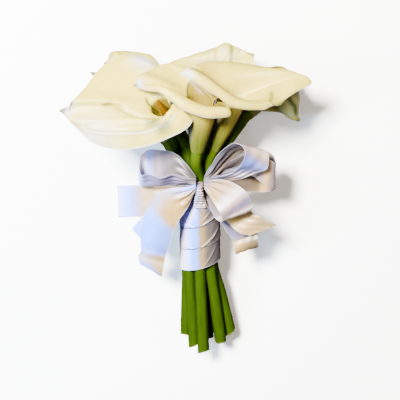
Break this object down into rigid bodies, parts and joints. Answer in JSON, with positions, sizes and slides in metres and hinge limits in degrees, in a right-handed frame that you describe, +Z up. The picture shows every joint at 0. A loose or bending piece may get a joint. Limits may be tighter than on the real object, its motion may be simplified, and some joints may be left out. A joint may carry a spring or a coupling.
{
  "type": "bridal bouquet",
  "caption": "Hand-tied bridal bouquet of calla lilies with a satin ribbon handle and a loose ribbon bow, lying on its back.",
  "frame": {"origin": "middle of the bounding box in X and Y, on the surface that the bouquet lies on", "axes": "+Y along the stems towards the blooms, +X to the right as the bow is seen, +Z up, out of the bow's face"},
  "size_m": [0.2746, 0.3814, 0.1709],
  "materials": {
    "petal": "waxy satin, cream white, green at the tips and at the tube's base",
    "spadix": "matt, grainy, orange yellow",
    "stem": "smooth, slightly waxy, fresh green",
    "ribbon": "shiny satin, white"
  },
  "bodies": {
    "root": {"spathe_left": "petal", "spadix_left": "spadix", "stem_left": "stem", "spathe_centre": "petal", "spadix_centre": "spadix", "stem_centre": "stem", "spathe_right": "petal", "spadix_right": "spadix", "stem_right": "stem", "spathe_top": "petal", "spadix_top": "spadix", "stem_top": "stem", "spathe_back_left": "petal", "spadix_back_left": "spadix", "stem_back_left": "stem", "spathe_low_left": "petal", "spadix_low_left": "spadix", "stem_low_left": "stem", "spathe_low_right": "petal", "spadix_low_right": "spadix", "stem_low_right": "stem", "spathe_back": "petal", "spadix_back": "spadix", "stem_back": "stem", "bow_loop_upper_left": "ribbon", "bow_loop_lower_left": "ribbon", "bow_tail_left": "ribbon", "bow_tail_left_rear": "ribbon", "bow_loop_upper_right": "ribbon", "bow_loop_rear_right": "ribbon", "bow_loop_lower_right": "ribbon", "bow_tail_right": "ribbon", "bow_tail_right_rear": "ribbon", "ribbon_wrap": "ribbon", "bow_tie": "ribbon"}
  },
  "joints": []
}
